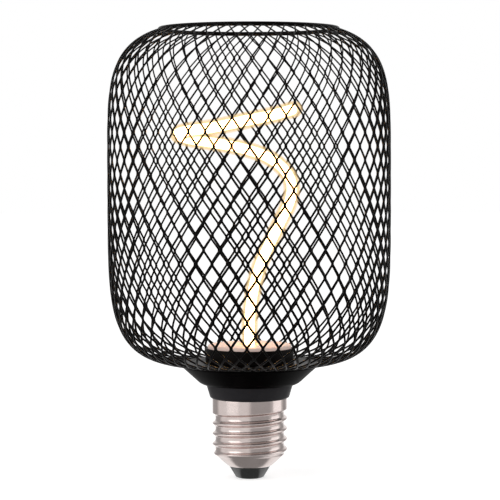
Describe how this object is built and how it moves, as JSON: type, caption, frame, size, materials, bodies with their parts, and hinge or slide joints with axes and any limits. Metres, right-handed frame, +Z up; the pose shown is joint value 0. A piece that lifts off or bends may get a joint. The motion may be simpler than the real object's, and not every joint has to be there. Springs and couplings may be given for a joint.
{
  "type": "led filament bulb",
  "caption": "LED lamp with a lit spiral filament standing in an open barrel cage of black expanded metal, on a black dish and a nickel E27 screw cap.",
  "frame": {"origin": "middle of the centre contact's lower face, on the lamp's axis", "axes": "+Z up the lamp's axis from the cap to the open top of the cage; the filament's straight foot leans to +X, and -Y faces the picture's camera"},
  "size_m": [0.0992, 0.0996, 0.1583],
  "materials": {
    "black_enamel": "satin black enamel on steel",
    "black_moulding": "black moulded heat-resistant plastic",
    "opal_plate": "opal white plate, lit by the filament",
    "clear_silicone": "translucent silicone over a lit strip of LEDs",
    "steel": "zinc plated",
    "white_moulding": "white moulded plastic",
    "nickel_plate": "nickel plated brass, slightly warm",
    "black_insulator": "glossy black",
    "tinned_contact": "tinned",
    "circuit_board": "glass fibre board",
    "black_epoxy": "moulded epoxy",
    "film_case": "moulded case",
    "capacitor_sleeve": "shrunk sleeve",
    "ferrite": "ferrite core with its winding",
    "resistor_body": "coated",
    "copper_wire": "tinned copper wire"
  },
  "bodies": {
    "root": {"rim_ring": "black_enamel", "mesh_cage": "black_enamel", "shade_dish": "black_enamel", "neck_collar": "black_moulding", "lamp_cup": "black_moulding", "base_plate": "opal_plate", "led_filament": "clear_silicone", "lock_nut": "steel", "filament_socket": "white_moulding", "screw_shell": "nickel_plate", "insulator": "black_insulator", "centre_contact": "tinned_contact", "driver_board": "circuit_board", "bridge_rectifier": "black_epoxy", "driver_chip": "black_epoxy", "film_capacitor": "film_case", "smoothing_capacitor": "capacitor_sleeve", "driver_choke": "ferrite", "fuse_resistor": "resistor_body", "live_wire": "copper_wire", "neutral_wire": "copper_wire", "lead_plus": "copper_wire", "lead_minus": "copper_wire"}
  },
  "joints": []
}
